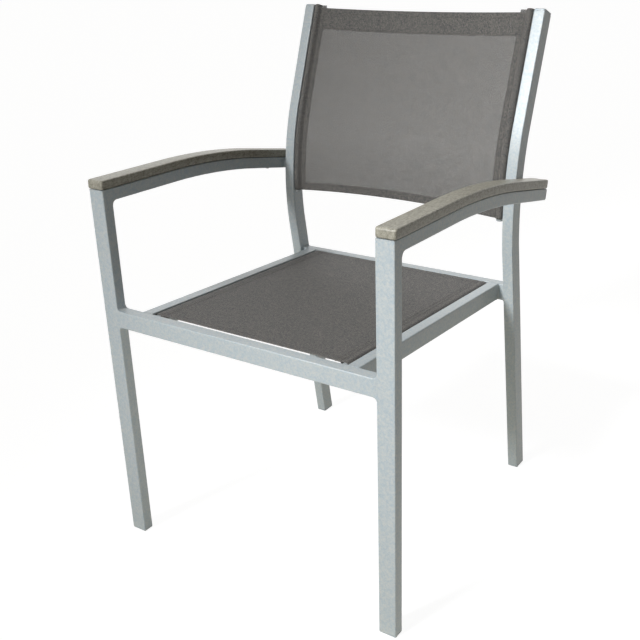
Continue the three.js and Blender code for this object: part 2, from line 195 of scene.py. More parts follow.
def blend(tree, factor, dark, light):
    node = add(tree, "ShaderNodeMix", data_type="RGBA")
    for name, value in (("Factor", factor), ("A", dark), ("B", light)):
        fill(tree, live(node.inputs, name), value)
    return live(node.outputs)


def noise(tree, where, scale, detail=2.0, roughness=0.5):
    sockets = {"Vector": where, "Scale": scale, "Detail": detail, "Roughness": roughness}
    return add(tree, "ShaderNodeTexNoise", sockets).outputs["Fac"]


def spread(tree, value, start, end):
    """Stretches the values between two bounds over 0 to 1."""
    sockets = {"Value": value, "From Min": start, "From Max": end}
    return add(tree, "ShaderNodeMapRange", sockets).outputs["Result"]


def srgb(red, green, blue):
    """A colour read off a screen, 0 to 255, as the light value that a shader needs."""
    values = []
    for part in (red, green, blue):
        share = part / 255
        values.append(share / 12.92 if share <= 0.04045 else ((share + 0.055) / 1.055) ** 2.4)
    return (*values, 1.0)


def scaled(colour, share):
    return (*(min(1.0, part * share) for part in colour[:3]), 1.0)


def empty_tree(owner):
    owner.use_nodes = True
    owner.node_tree.nodes.clear()
    return owner.node_tree


def new_material(name):
    material = bpy.data.materials.new(name)
    return material, empty_tree(material)


def finish_material(tree, colour, roughness, height, depth, distance, **more):
    normal = first(tree, "ShaderNodeBump", {"Strength": depth, "Distance": distance, "Height": height})
    sockets = {"Base Color": colour, "Roughness": roughness, "Normal": normal, **more}
    shader = first(tree, "ShaderNodeBsdfPrincipled", sockets)
    add(tree, "ShaderNodeOutputMaterial", {"Surface": shader})


def place_on_piece(tree):
    return add(tree, "ShaderNodeTexCoord").outputs["Object"]


# %% [markdown]
# The silver coat is baked powder: a matte film with fine metal flakes in it, a slight orange-peel skin,
# and a tone that wanders between cool and neutral grey from flake to flake. A plain metal shader would
# mirror the room and look chromed. So the base is mostly paint, with a little metal, and noise of several
# sizes for tone, flakes, skin and sheen.

# %% Silver powder coat
CLOUDS, FLAKES, SKIN, SHEEN = 260.0, 900.0, 1300.0, 420.0  # noise waves to the metre
FLAKE_SHARE = 0.4
FLAKE_LIGHTER = 1.3
SHEEN_BOUNDS = (-0.75, 2.5)  # wide bounds keep the roughness near 0.38


def silver_coat(name, cool, warm, metal):
    material, tree = new_material(name)
    where = place_on_piece(tree)
    clouds = noise(tree, where, CLOUDS, 4.0, 0.8)
    flakes = spread(tree, noise(tree, where, FLAKES, 2.0, 0.6), 0.40, 0.66)
    body = blend(tree, spread(tree, clouds, 0.38, 0.62), cool, warm)
    colour = blend(tree, times(tree, flakes, FLAKE_SHARE), body, scaled(cool, FLAKE_LIGHTER))
    skin = noise(tree, where, SKIN, 1.0)
    rough = spread(tree, noise(tree, where, SHEEN), *SHEEN_BOUNDS)
    more = {"Metallic": metal, "Specular IOR Level": 0.4}
    finish_material(tree, colour, rough, skin, depth=0.16, distance=0.0003, **more)
    return material


frame_coat = silver_coat("silver_powder_coat", srgb(158, 170, 178), srgb(187, 188, 184), metal=0.04)
rod_coat = silver_coat("rod_powder_coat", srgb(150, 158, 163), srgb(168, 169, 167), metal=0.10)

# %% [markdown]
# The arm slats look like weathered hardwood, but they are a foamed board with a brushed face: fine short
# scratches along the board, and a mottle of olive and brown. Noise stretched along the length of the arm
# gives the brush marks, and a rounder noise the mottle.

# %% Brushed slat
STREAKS, MOTTLE = 950.0, 240.0
STREAK_SHARE = 0.55
STREAK_STRETCH = 0.10


def brushed_slat(name, dark, light):
    material, tree = new_material(name)
    where = place_on_piece(tree)
    along = first(tree, "ShaderNodeMapping", {"Vector": where, "Scale": (1.0, STREAK_STRETCH, 1.0)})
    streaks = times(tree, noise(tree, along, STREAKS, 4.0, 0.65), STREAK_SHARE)
    mottle = times(tree, noise(tree, where, MOTTLE, 4.0, 0.7), 1 - STREAK_SHARE)
    mixed = maths(tree, "ADD", streaks, mottle)
    colour = blend(tree, spread(tree, mixed, 0.36, 0.64), dark, light)
    finish_material(tree, colour, 0.42, mixed, depth=0.3, distance=0.0005)
    return material


slat_face = brushed_slat("brushed_slat", srgb(98, 94, 83), srgb(173, 169, 155))

# %% [markdown]
# The sheet is woven from coated yarn, nine to ten yarns to the centimetre each way, with a small hole
# between every four. It lets light through, so one layer looks paler before a white wall than the hems,
# where it lies double. The pattern is worked out from the cloth's own coordinates in millimetres: where a
# yarn runs, which of the two lies on top, and where neither runs and the sheet is open.

# %% Woven sheet
FLECK_LONG = 3.0
FLECK_SHIFT = 0.37
YARN_UNEVEN = 0.06
YARN_RISE = 0.55
DYED_SHARE = 0.9


def yarn(tree, beside, along, pitch, share):
    """Parallel yarns: the height across one, zero in the gaps, its number, and a chance tone along it."""
    counted = maths(tree, "DIVIDE", beside, pitch)
    number = maths(tree, "FLOOR", counted)
    started = maths(tree, "MULTIPLY_ADD", number, FLECK_SHIFT, maths(tree, "DIVIDE", along, FLECK_LONG))
    fleck = vector(tree, X=number, Y=maths(tree, "FLOOR", started))
    tone = add(tree, "ShaderNodeTexWhiteNoise", {"Vector": fleck}).outputs["Value"]
    thick = maths(tree, "MULTIPLY_ADD", tone, YARN_UNEVEN, share - YARN_UNEVEN / 2)
    from_middle = maths(tree, "ABSOLUTE", maths(tree, "SUBTRACT", maths(tree, "FRACT", counted), 0.5))
    height = spread(tree, from_middle, times(tree, thick, 0.5), 0.0)
    return height, number, tone


def woven_sheet(name, dark, light, pitch=1.05, share=0.61):
    material, tree = new_material(name)
    flat = add(tree, "ShaderNodeUVMap", uv_map="cloth").outputs["UV"]
    split = add(tree, "ShaderNodeSeparateXYZ", {"Vector": flat}).outputs
    warp, column, lengthwise = yarn(tree, split["X"], split["Y"], pitch, share)
    weft, row, crosswise = yarn(tree, split["Y"], split["X"], pitch, share)
    over = maths(tree, "MODULO", maths(tree, "ABSOLUTE", maths(tree, "ADD", column, row)), 2.0)
    under = maths(tree, "SUBTRACT", 1.0, over)
    tops = [
        times(tree, height, maths(tree, "MULTIPLY_ADD", on_top, YARN_RISE, 1 - YARN_RISE))
        for height, on_top in ((warp, over), (weft, under))
    ]
    height = maths(tree, "MAXIMUM", *tops)
    solid = maths(tree, "GREATER_THAN", height, 0.001)
    uneven = spread(tree, noise(tree, flat, 0.5, 2.0, 0.7), 0.34, 0.66)
    seen = {"Factor": maths(tree, "GREATER_THAN", *tops), "A": crosswise, "B": lengthwise}
    dyed = times(tree, add(tree, "ShaderNodeMix", seen).outputs["Result"], DYED_SHARE)
    tone = maths(tree, "ADD", dyed, times(tree, uneven, 1 - DYED_SHARE))
    colour = blend(tree, tone, dark, light)
    # Painted shade: where a yarn's height falls off towards its edges, its colour darkens to 0.4 of the
    # dark tone.
    weave_colour_with_painted_shade = blend(tree, spread(tree, height, 0.0, 0.5), scaled(dark, 0.4), colour)
    finish_material(tree, weave_colour_with_painted_shade, 0.62, height, depth=0.7, distance=0.0003, Alpha=solid)
    return material


sling_weave = woven_sheet("sling_weave", srgb(67, 71, 74), srgb(146, 139, 131))

# %% Plastic, steel and thread


def plain_finish(name, dark, light, roughness, metal=0.0, scale=600.0):
    material, tree = new_material(name)
    grain = noise(tree, place_on_piece(tree), scale, 2.0, 0.6)
    colour = blend(tree, spread(tree, grain, 0.3, 0.7), dark, light)
    finish_material(tree, colour, roughness, grain, depth=0.12, distance=0.0002, Metallic=metal)
    return material


black_plastic = plain_finish("black_plastic", srgb(34, 34, 35), srgb(48, 48, 49), 0.55)
screw_steel = plain_finish("screw_steel", srgb(150, 151, 152), srgb(176, 177, 178), 0.32, metal=0.9)
sewing_thread = plain_finish("sewing_thread", srgb(62, 60, 58), srgb(88, 84, 80), 0.8, scale=2500.0)
print("finishes:", [m.name for m in bpy.data.materials])

# %% [markdown]
# ## The tubes, caps, rods and feet
#
# These have the right shape already. What they lack is a smooth look: every small flat of a rounded edge
# shows as a facet. The dressed piece is a copy with its doubled corners merged and its coplanar faces
# joined, so that a bevel can round the cut ends and weighted normals can shade the rounding.

# %% Helpers for plain meshes


def put_in_scene(name, data):
    thing = bpy.data.objects.new(name, data)
    bpy.context.scene.collection.objects.link(thing)
    return thing


def new_piece(name, mesh, material):
    piece = put_in_scene(name, mesh)
    mesh.materials.clear()
    mesh.materials.append(material)
    return piece


def finished_mesh(name, shape):
    """Turns an edited shape into a mesh and lets go of it."""
    mesh = bpy.data.meshes.new(name)
    shape.to_mesh(mesh)
    shape.free()
    return mesh


def to_plain_mesh(piece):
    """Bakes a piece's modifiers into its mesh."""
    bpy.context.view_layer.update()
    seen = piece.evaluated_get(bpy.context.evaluated_depsgraph_get())
    mesh = bpy.data.meshes.new_from_object(seen)
    mesh.name = piece.name
    piece.modifiers.clear()
    piece.data = mesh
    return piece


def round_edges(piece, width, steeper_than):
    bevel = piece.modifiers.new("edges", "BEVEL")
    bevel.width = width
    bevel.segments = 3
    bevel.limit_method = "ANGLE"
    bevel.angle_limit = math.radians(steeper_than)
    to_plain_mesh(piece)


def make_smooth(mesh):
    mesh.polygons.foreach_set("use_smooth", [True] * len(mesh.polygons))


def shade(piece, sharp=None):
    """Smooth shading led by the large faces, with the edges over a sharp angle kept."""
    make_smooth(piece.data)
    if sharp is not None:
        piece.data.set_sharp_from_angle(angle=math.radians(sharp))
    weighted = piece.modifiers.new("shading", "WEIGHTED_NORMAL")
    weighted.keep_sharp = sharp is not None
    weighted.weight = 100
    to_plain_mesh(piece)


# %% Dress a piece of the frame
MERGE_WITHIN = 2e-6
FLAT_WITHIN = math.radians(0.6)
TUBE_SHARP = 28
FLOOR_RIM = 0.0003
RIM_ANGLE = 0.8


def floor_rim(shape):
    """The edges round a foot's sole."""
    low_edges = [e for e in shape.edges if max(v.co.z for v in e.verts) < FLOOR_RIM]
    return [e for e in low_edges if e.calc_face_angle(0) > RIM_ANGLE]


def dressed(node, material, slot, round_ends=0.0, round_foot=0.0):
    shape = bmesh.new()
    shape.from_mesh(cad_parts[node].data)
    bmesh.ops.remove_doubles(shape, verts=shape.verts, dist=MERGE_WITHIN)
    bmesh.ops.dissolve_limit(shape, angle_limit=FLAT_WITHIN, verts=shape.verts, edges=shape.edges)
    if round_foot:
        rim = floor_rim(shape)
        bmesh.ops.bevel(shape, geom=rim, offset=round_foot, segments=4, affect="EDGES", profile=0.5)
    piece = new_piece(node + "_dressed", finished_mesh(node + "_dressed", shape), material)
    if round_ends:
        round_edges(piece, round_ends, steeper_than=50)
    shade(piece, TUBE_SHARP)
    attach(piece, "root")
    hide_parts(node)
    return piece


TUBES = ("front_leg", "arm_tube", "back_post", "seat_side_rail", "arm_spacer", "post_cap")
DRESSING = (
    (TUBES, frame_coat, "frame", {}),
    (("seat_sling_rod", "back_sling_rod"), rod_coat, "rods", {"round_ends": 0.0006}),
    (("front_glide", "rear_glide"), frame_coat, "grey_plastic", {"round_foot": 0.0022}),
    (("arm_end_plug",), black_plastic, "black_plastic", {}),
)
dressed_pieces = [dressed(node, frame_coat, "frame") for node in ("front_seat_rail", "rear_seat_rail")]
for side, _ in SIDES:
    for stems, coat, slot, rounding in DRESSING:
        dressed_pieces += [dressed(f"{stem}_{side}", coat, slot, **rounding) for stem in stems]
print("dressed pieces:", len(dressed_pieces))

# %% [markdown]
# ## The arm slats
#
# Each slat is a flat board that bends with the arm tube, with soft edges and its front corners rounded.
# A board pushed along a line is what Geometry Nodes do best: Curve to Mesh sweeps a small rectangle with
# rounded corners along the arm's side line. Near the front end the board is drawn in by quarter circles,
# seen from above, over its top edge and at its foot, as a router would round it. The sizes stay plain
# numbers, and the second slat is the same tree shifted sideways.

# %% Helpers for trees that follow guide lines


def new_grower(name, sizes):
    """A tree with named sizes as its inputs, and the guide lines it gets as curves."""
    tree = bpy.data.node_groups.new(name, "GeometryNodeTree")
    for way in ("INPUT", "OUTPUT"):
        tree.interface.new_socket("Geometry", in_out=way, socket_type="NodeSocketGeometry")
    for label, default in sizes.items():
        kind = "NodeSocketInt" if isinstance(default, int) else "NodeSocketFloat"
        tree.interface.new_socket(label, in_out="INPUT", socket_type=kind).default_value = default
    inputs = add(tree, "NodeGroupInput").outputs
    return tree, inputs, first(tree, "GeometryNodeMeshToCurve", {"Mesh": inputs["Geometry"]})


def finish_grower(tree, instances, material):
    solid = first(tree, "GeometryNodeRealizeInstances", {"Geometry": instances})
    smooth = first(tree, "GeometryNodeSetShadeSmooth", {"Geometry": solid})
    painted = first(tree, "GeometryNodeSetMaterial", {"Geometry": smooth, "Material": material})
    add(tree, "NodeGroupOutput", {0: painted})
    return tree


def grown(name, guides, tree, slot, **values):
    """Runs a tree over guide lines and keeps the result as a plain mesh."""
    points, edges = [], []
    for guide in guides:
        start = len(points)
        points.extend(guide)
        edges.extend((start + k, start + k + 1) for k in range(len(guide) - 1))
    mesh = bpy.data.meshes.new(name)
    mesh.from_pydata(points, edges, [])
    piece = put_in_scene(name, mesh)
    modifier = piece.modifiers.new("grower", "NODES")
    modifier.node_group = tree
    for item in tree.interface.items_tree:
        if item.in_out == "INPUT" and item.name in values:
            modifier[item.identifier] = values[item.name]
    to_plain_mesh(piece)
    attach(piece, "root")
    print(name, "faces:", len(piece.data.polygons))
    return piece


# %% Sizes of a slat
ARM_END_RUN = 0.1285
arm_line = SideLine(
    y=front_plane,
    z=high("arm_tube_right").z,
    heading=math.radians(-1.5),
    before=0.166,
    radius=1.300,
    turn=math.radians(10.0),
)
ARM_LENGTH = arm_line.before + arm_line.arc + ARM_END_RUN
SLAT_WIDE = 0.0322
SLAT_THICK = 0.0147
SLAT_OUTWARD = 0.0009
JOINT = 0.0006
SLAT_SIZES = {"Wide": SLAT_WIDE, "Thick": SLAT_THICK, "Corner": 0.0038, "Sideways": 0.0}
SLAT_SIZES |= {"Top edge": 0.0026, "Under edge": 0.0026, "End edge": 0.0012}
SLAT_SIZES |= {"Front edge": 0.0042, "Front foot": 0.0022}
print("arm length:", round(ARM_LENGTH, 4))

# %% A tree that sweeps a slat


def quarter_drop(tree, distance, radius):
    """How far a quarter circle falls back at a distance from where it starts."""
    left = maths(tree, "SUBTRACT", 1.0, maths(tree, "DIVIDE", distance, radius))
    clear = first(tree, "ShaderNodeClamp", {"Value": left})
    level = maths(tree, "SQRT", maths(tree, "SUBTRACT", 1.0, times(tree, clear, clear)))
    return times(tree, maths(tree, "SUBTRACT", 1.0, level), radius)


def stored(tree, geometry, name, value):
    sockets = {"Geometry": geometry, "Name": name, "Value": value}
    return first(tree, "GeometryNodeStoreNamedAttribute", sockets, data_type="FLOAT")


def recalled(tree, name):
    return first(tree, "GeometryNodeInputNamedAttribute", {"Name": name}, data_type="FLOAT")


def slat_profile(tree, sizes, place):
    """The board's cut with rounded corners. Curve to Mesh turns it upside down, so up is minus Y."""
    board = {"Width": sizes["Wide"], "Height": sizes["Thick"]}
    outline = first(tree, "GeometryNodeCurvePrimitiveQuadrilateral", board)
    upward = times(tree, place["Y"], -1.0)
    is_top = maths(tree, "GREATER_THAN", upward, 0.0)
    edges = {"Factor": is_top, "A": sizes["Under edge"], "B": sizes["Top edge"]}
    radius = add(tree, "ShaderNodeMix", edges).outputs["Result"]
    fillet = {"Curve": outline, "Count": 5, "Radius": radius}
    return stored(tree, first(tree, "GeometryNodeFilletCurve", fillet, mode="POLY"), "level", upward)


def slat_tree():
    tree, sizes, curve = new_grower("arm_slat", SLAT_SIZES)
    upright = first(tree, "GeometryNodeSetCurveNormal", {"Curve": curve}, mode="Z_UP")
    path = stored(tree, upright, "along", add(tree, "GeometryNodeSplineParameter").outputs["Length"])
    position = first(tree, "GeometryNodeInputPosition")
    place = add(tree, "ShaderNodeSeparateXYZ", {"Vector": position}).outputs
    sweep = {"Curve": path, "Profile Curve": slat_profile(tree, sizes, place), "Fill Caps": True}
    swept = first(tree, "GeometryNodeCurveToMesh", sweep)

    from_front = recalled(tree, "along")
    length = add(tree, "GeometryNodeSplineLength").outputs["Length"]
    whole = first(tree, "GeometryNodeSampleIndex", {"Geometry": curve, "Value": length}, domain="CURVE")
    from_back = maths(tree, "SUBTRACT", whole, from_front)
    end_edge = quarter_drop(tree, from_back, sizes["End edge"])
    plan = maths(tree, "ADD", quarter_drop(tree, from_front, sizes["Corner"]), end_edge)
    side = maths(tree, "ADD", quarter_drop(tree, from_front, sizes["Front edge"]), end_edge)
    narrower = maths(tree, "DIVIDE", times(tree, plan, -2.0), sizes["Wide"])
    rise = quarter_drop(tree, from_front, sizes["Front foot"])
    thinner = maths(tree, "DIVIDE", maths(tree, "ADD", side, rise), sizes["Thick"])
    over_foot = maths(tree, "ADD", recalled(tree, "level"), times(tree, sizes["Thick"], 0.5))
    higher = maths(tree, "SUBTRACT", rise, times(tree, over_foot, thinner))
    shift = vector(tree, X=times(tree, place["X"], narrower), Z=higher)
    drawn_in = first(tree, "GeometryNodeSetPosition", {"Geometry": swept, "Offset": shift})
    sideways = vector(tree, X=sizes["Sideways"])
    moved = first(tree, "GeometryNodeTransform", {"Geometry": drawn_in, "Translation": sideways})
    return finish_grower(tree, moved, slat_face)


# %% Two slats
SLAT_SHARP = math.radians(50)
NOSE_STEPS = (0.0, 0.0003, 0.0007, 0.0013, 0.002, 0.003, 0.0045)
TAIL_STEPS = (-0.0012, -0.0008, -0.0004, -0.0001, 0.0)
PLAIN_FROM = 0.012
slat_front, slat_back = -0.0006, ARM_LENGTH - 0.0025
slat_stops = [slat_front + step for step in NOSE_STEPS]
slat_stops += list(np.linspace(PLAIN_FROM, ARM_LENGTH - PLAIN_FROM, 56))
slat_stops += [slat_back + step for step in TAIL_STEPS]
arm_slat = slat_tree()
for side, sign in SIDES:
    guide = [arm_line.spot(stop, JOINT + SLAT_THICK / 2) for stop in slat_stops]
    middle = sign * (mid_x("armrest_right") + SLAT_OUTWARD)
    slat = grown(f"armrest_slat_{side}", [guide], arm_slat, "slat", Sideways=middle)
    slat.data.set_sharp_from_angle(angle=SLAT_SHARP)
    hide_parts(f"armrest_{side}")
    print(*(rounded(f(v.co[k] for v in slat.data.vertices) for k in range(3)) for f in (min, max)))

# %% [markdown]
# ## The two slings
#
# Each sling is one sheet. Its long sides are folded round a rod and sewn down as a pocket, and its ends
# are folded over and hemmed. A cloth simulation could stretch it, but under this much tension it only
# finds the straight lines between the rods again. So the sheet is laid out as a grid: a section across
# the chair, repeated along the rods, with the ends drawn in a little where the pull comes only from the
# sides. The grid keeps the true cloth lengths, which the weave is drawn on.

# %% Section of a sling
CLOTH = 0.00032
LAYER_STEP = 0.00055
ROD_RADIUS = 0.006
POCKET_RADIUS = ROD_RADIUS + 0.0009
SEAM_IN = 0.0150
HEM_IN = 0.0250
FIELD_STEPS = 26
ROUND_POINTS = 22
FLAP_POINTS = 6


def touch_angle(point, centre, radius, turn):
    """Angle on a circle where a line from a point outside touches it."""
    away = point - centre
    return math.atan2(away.y, away.x) + turn * math.acos(radius / away.length)


def section_points(rod_x, sink):
    """One half runs from mid-width over the rod, back under it, to the flap's edge. It is mirrored."""
    radius = POCKET_RADIUS - CLOTH / 2
    centre = Vector((rod_x, -POCKET_RADIUS))
    seam = Vector((rod_x + POCKET_RADIUS - SEAM_IN, -sink - CLOTH / 2))
    flap = Vector((seam.x, seam.y - 2 * LAYER_STEP))
    hem_x = rod_x + POCKET_RADIUS - HEM_IN
    points = []
    for share in np.linspace(0.0, 1.0, FIELD_STEPS + 1):
        eased = math.sin(share * math.pi / 2)
        points.append(Vector((seam.x * eased, seam.y)))
    over = touch_angle(seam, centre, radius, -1)
    under = touch_angle(flap, centre, radius, 1)
    while under > over:
        under -= 2 * math.pi
    for angle in np.linspace(over, under, ROUND_POINTS):
        points.append(centre + radius * Vector((math.cos(angle), math.sin(angle))))
    points.append(flap + Vector((0.0006, 0.0)))
    for x in np.linspace(seam.x - 0.0004, hem_x, FLAP_POINTS):
        points.append(Vector((x, flap.y)))
    return [Vector((-p.x, p.y)) for p in reversed(points[1:])] + points


print("points in a section:", len(section_points(0.2, 0.0)))

# %% [markdown]
# Each row of the grid crosses the chair. Between the pockets the first and last rows bow inwards, and
# close rows near the ends keep that bow smooth. The seam draws the layers together, which shows as a
# crease beside the rod, and the taut field keeps the faint unevenness of cloth that was cut by hand.

# %% Lay out a sling
SAG = 0.002
CREASE_DEEP = 0.0004
CREASE_WIDE = 0.0016
FIELD_RIPPLE = 0.00001
HEM_RIPPLE = 0.00005
HEM_REACH = 0.05
DOME_STEPS = ((0.88, 0.0006), (0.55, 0.0011), (0.12, 0.0013))


def calm(x, seam_x):
    """1 at mid-width, falling to 0 at the seams."""
    return max(0.0, 1.0 - (x / seam_x) ** 2)


def full_at(share):
    """Grows from 0 at both ends of the sheet to 1 at mid-length."""
    return math.sin(math.pi * min(max(share, 0.0), 1.0)) ** 0.5


def lay_out(rod_x, sink, line, over, ends, bows, hems, ear, seed):
    """Vertices, faces, flat coordinates and flat size of a sling. Pairs hold its low or front end first."""
    section = section_points(rod_x, sink)
    steps = [(b - a).length for a, b in zip(section, section[1:])]
    across = np.concatenate([[0.0], np.cumsum(steps)])
    across -= across[-1] / 2
    seam_x = rod_x + POCKET_RADIUS - SEAM_IN
    run = ends[1] - ends[0]
    middle = len(section) // 2
    first_in, last_in = middle - FIELD_STEPS, middle + FIELD_STEPS
    random = np.random.default_rng(seed)
    bounds = ((0.010, 0.045), (0, 6.28), (0.2, 1.0))
    waves = [[random.uniform(*pair) for pair in bounds] for _ in range(5)]

    def bow(x, end):
        return bows[end] * calm(x, seam_x)

    def lift(column, x, share):
        if not first_in <= column <= last_in:
            return 0.0
        hem_pull = math.exp(-share * run / HEM_REACH) + math.exp(-(1 - share) * run / HEM_REACH)
        wave = sum(height * math.sin(x / size + phase) for size, phase, height in waves)
        ripple = wave * calm(x, seam_x) * (FIELD_RIPPLE + HEM_RIPPLE * hem_pull)
        crease = CREASE_DEEP * math.exp(-((abs(x) - seam_x) / CREASE_WIDE) ** 2)
        return ripple - crease - SAG * calm(x, seam_x) * full_at(share)

    shares = np.concatenate([
        np.linspace(0.0, 0.08, 8, endpoint=False),
        np.linspace(0.08, 0.92, 54, endpoint=False),
        np.linspace(0.92, 1.0, 9),
    ])
    points, flat, faces = [], [], []

    def put(column, along, height, x, flat_along):
        points.append(line.spot(along, over + height, x))
        flat.append((across[column] * 1000, flat_along * 1000))
        return len(points) - 1

    grid = []
    for share in shares:
        row = []
        for column, p in enumerate(section):
            inside = first_in <= column <= last_in
            start = ends[0] + (bow(p.x, 0) if inside else 0.0)
            end = ends[1] - (bow(p.x, 1) if inside else -ear)
            along = start + share * (end - start)
            row.append(put(column, along, p.y + lift(column, p.x, share), p.x, along))
        grid.append(row)

    def sleeve_top(columns, side):
        """Closes a sleeve over the end of its rod with a small dome."""
        centre = Vector((side * rod_x, -POCKET_RADIUS))
        rows = [[grid[-1][column] for column in columns]]
        for shrink, rise in DOME_STEPS:
            along = ends[1] + ear + rise
            spots = [centre + (section[column] - centre) * shrink for column in columns]
            rows.append([put(c, along, p.y, p.x, along) for c, p in zip(columns, spots)])
        return rows

    def hem_rows(end):
        way = 1 if end else -1
        rows = [grid[-end][first_in:last_in + 1]]
        radius = LAYER_STEP / 2
        turns = np.linspace(0, math.pi, 5)[1:]
        runs = [(radius * math.sin(a), radius * (math.cos(a) - 1)) for a in turns]
        runs += [(-hems[end] * k, -LAYER_STEP) for k in (0.08, 0.3, 0.55, 0.8, 1.0)]
        for out, down in runs:
            row = []
            for column in range(first_in, last_in + 1):
                p = section[column]
                along = ends[end] - way * bow(p.x, end)
                height = p.y + lift(column, p.x, end + way * out / run) + down
                row.append(put(column, along + way * out, height, p.x, along - way * out))
            rows.append(row)
        return rows

    def stitch_rows(rows, flip=False):
        for low_row, high_row in zip(rows, rows[1:]):
            for a, b, c, d in zip(low_row, low_row[1:], high_row[1:], high_row):
                faces.append((d, c, b, a) if flip else (a, b, c, d))

    stitch_rows(grid)
    stitch_rows(hem_rows(0), flip=True)
    stitch_rows(hem_rows(1))
    if ear:
        stitch_rows(sleeve_top(range(last_in + 1, len(section) - FLAP_POINTS), 1))
        stitch_rows(sleeve_top(range(FLAP_POINTS, first_in), -1))
    return points, faces, flat, across[-1] - across[0], run + sum(hems)


def sling(name, node, layout):
    points, faces, flat, width, length = layout
    mesh = bpy.data.meshes.new(name)
    mesh.from_pydata(points, [], faces)
    uv = mesh.uv_layers.new(name="cloth")
    for corner in mesh.loops:
        uv.data[corner.index].uv = flat[corner.vertex_index]
    piece = new_piece(name, mesh, sling_weave)
    make_smooth(mesh)
    thick = piece.modifiers.new("cloth", "SOLIDIFY")
    thick.thickness = CLOTH
    thick.offset = 0.0
    to_plain_mesh(piece)
    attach(piece, "root")
    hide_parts(node)
    print(name, "faces:", len(piece.data.polygons), "flat size:", round(width, 3), round(length, 3))
    return piece


# %% Both slings
back_place = {
    "rod_x": low("back_sling_rod_right").x + ROD_RADIUS,
    "sink": POCKET_RADIUS - CLOTH / 2 - LAYER_STEP / 2,
    "line": post_line,
    "over": 0.0014,
    "ends": (0.5395, post_length - 0.006),
    "bows": (0.008, 0.003),
}
back_layout = lay_out(**back_place, hems=(0.0145, 0.039), ear=0.0050, seed=3)
back_sling = sling("back_sling_cloth", "back_sling", back_layout)

rail_reach = low("rear_seat_rail").y - rail_back
rail_run = (rail_reach + TUBE_WIDE * math.sin(SEAT_FALL)) / math.cos(SEAT_FALL)
seat_place = {
    "rod_x": low("seat_sling_rod_right").x + ROD_RADIUS,
    "sink": 0.0,
    "line": seat_line,
    "over": 0.0,
    "ends": (0.0045, rail_run - 0.003),
    "bows": (0.0, 0.0),
}
seat_layout = lay_out(**seat_place, hems=(0.016, 0.016), ear=0.0, seed=8)
seat_sling = sling("seat_sling_cloth", "seat_sling", seat_layout)

# %% [markdown]
# ## Stitches
#
# Rows of thread hold the pockets and hems. Modelling hundreds of stitches by hand would be slow, and one
# long tube would look like piping. Geometry Nodes place one small capsule again and again along guide
# lines, turned to follow them. The guides are plain edges just over the cloth.

# %% Stitches as a tree


def along_tangent(tree):
    tangent = first(tree, "GeometryNodeInputTangent")
    return first(tree, "FunctionNodeAlignRotationToVector", {"Vector": tangent}, axis="Z")


def repeated(tree, curve, pitch, ball, scale):
    """Sets one shape at even steps along the guide lines, turned to follow them."""
    even = first(tree, "GeometryNodeResampleCurve", {"Curve": curve, "Length": pitch}, mode="LENGTH")
    sockets = {"Points": even, "Instance": ball, "Rotation": along_tangent(tree), "Scale": scale}
    return first(tree, "GeometryNodeInstanceOnPoints", sockets)


def stitch_tree():
    sizes = {"Pitch": 0.0036, "Length": 0.0027, "Thread": 0.0003}
    tree, sizes, curve = new_grower("stitch_row", sizes)
    ball = first(tree, "GeometryNodeMeshUVSphere", {"Segments": 6, "Rings": 5, "Radius": 0.5})
    wide = times(tree, sizes["Thread"], 2.0)
    scale = vector(tree, X=wide, Y=wide, Z=sizes["Length"])
    return finish_grower(tree, repeated(tree, curve, sizes["Pitch"], ball, scale), sewing_thread)


stitches = stitch_tree()

# %% Rows of stitches
STITCH_OVER = 0.0001
SEAM_ROW = SEAM_IN + 0.0004
FLAP_ROW = HEM_IN - 0.0025
ROW_SHORT = 0.004
HEM_ROW_SHORT = 0.002


def seam_guides(rod_x, sink, line, over, ends, bows, rows):
    """Lines on the show face, beside each rod and along each hem."""
    seam_x = rod_x + POCKET_RADIUS - SEAM_IN
    top = over - sink + STITCH_OVER
    guides = []
    for inward, crease in ((SEAM_ROW, CREASE_DEEP), (FLAP_ROW, 0.0)):
        stops = np.linspace(ends[0] + ROW_SHORT, ends[1] - ROW_SHORT, 60)
        for side in (-1, 1):
            x = side * (rod_x + POCKET_RADIUS - inward)
            guides.append([line.spot(stop, top - crease, x) for stop in stops])
    for end, distance in rows:
        way = 1 if end == 0 else -1
        guide = []
        for x in np.linspace(-seam_x + HEM_ROW_SHORT, seam_x - HEM_ROW_SHORT, 40):
            along = ends[end] + way * (distance + bows[end] * calm(x, seam_x))
            share = (along - ends[0]) / (ends[1] - ends[0])
            guide.append(line.spot(along, top - SAG * calm(x, seam_x) * full_at(share), x))
        guides.append(guide)
    return guides


back_guides = seam_guides(**back_place, rows=((0, 0.0115), (1, 0.009), (1, 0.036)))
seat_guides = seam_guides(**seat_place, rows=((0, 0.013), (1, 0.013)))
back_stitches = grown("back_sling_stitches", back_guides, stitches, "sling")
seat_stitches = grown("seat_sling_stitches", seat_guides, stitches, "sling")

# %% [markdown]
# ## Welds
#
# Every joint of the frame is welded before it is coated. A hand-laid bead is a row of small overlapping
# scales. The same idea as for the stitches works: guide lines in the corners, and one ball repeated
# closely, each sized a little differently by a fixed seed.

# %% Weld beads
INSET = 0.0025
POST_INSET = 0.0015
TOP_START = 0.0004
UNDER_START = 0.0020


def weld_tree():
    tree, sizes, curve = new_grower("weld_bead", {"Pitch": 0.0014, "Radius": 0.0017, "Seed": 5})
    ball = first(tree, "GeometryNodeMeshIcoSphere", {"Radius": 1.0, "Subdivisions": 2})
    bounds = {"Min": 0.88, "Max": 1.12, "Seed": sizes["Seed"]}
    chance = add(tree, "FunctionNodeRandomValue", bounds, data_type="FLOAT")
    sized = times(tree, live(chance.outputs), sizes["Radius"])
    scale = vector(tree, X=sized, Y=sized, Z=sized)
    return finish_grower(tree, repeated(tree, curve, sizes["Pitch"], ball, scale), frame_coat)


def corner_line(start, end, pull=INSET):
    """A guide between two corners, stopping a little short of both."""
    way = (end - start).normalized() * pull
    return [start + way, end - way]


